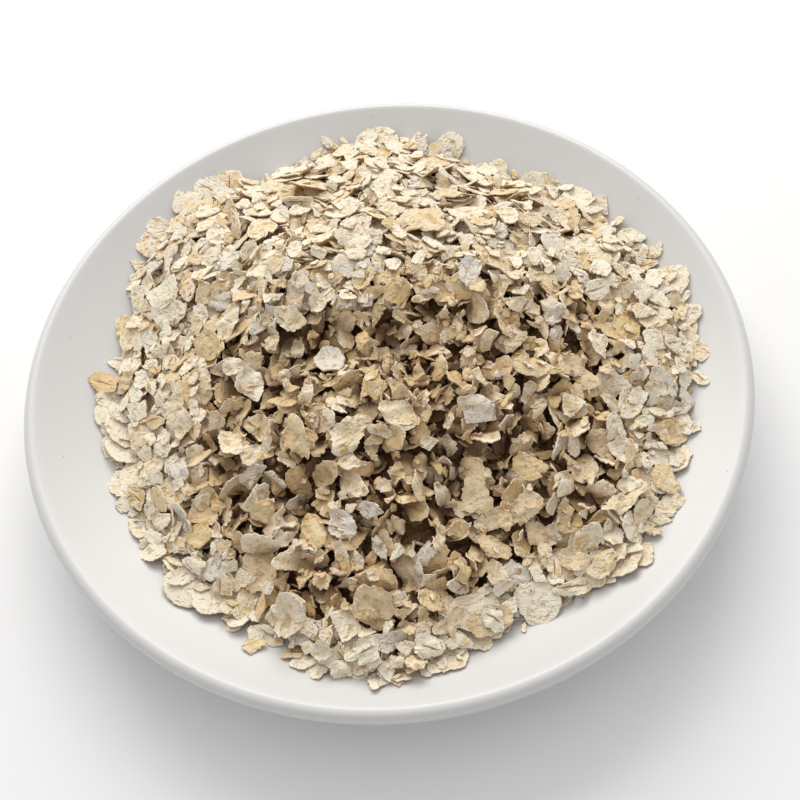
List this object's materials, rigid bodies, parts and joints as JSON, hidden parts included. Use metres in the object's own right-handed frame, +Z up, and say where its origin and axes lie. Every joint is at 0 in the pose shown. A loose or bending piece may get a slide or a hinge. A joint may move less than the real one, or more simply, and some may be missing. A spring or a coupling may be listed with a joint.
{
  "type": "dish of rolled oat flakes",
  "caption": "Shallow round white porcelain dish on a low foot ring, holding a loose heap of dry rolled oat flakes.",
  "frame": {"origin": "middle of the underside of the dish's foot ring, on the surface it stands on", "axes": "+Z up out of the dish; -Y towards the side that faces the viewer in the picture; +X to the viewer's right"},
  "size_m": [0.15, 0.15, 0.0336],
  "materials": {
    "porcelain": "clear gloss glaze over white porcelain",
    "rolled_oats": "dry, matt and floury, cream to pale tan"
  },
  "bodies": {
    "root": {"dish": "porcelain", "oat_heap": "rolled_oats"}
  },
  "joints": []
}
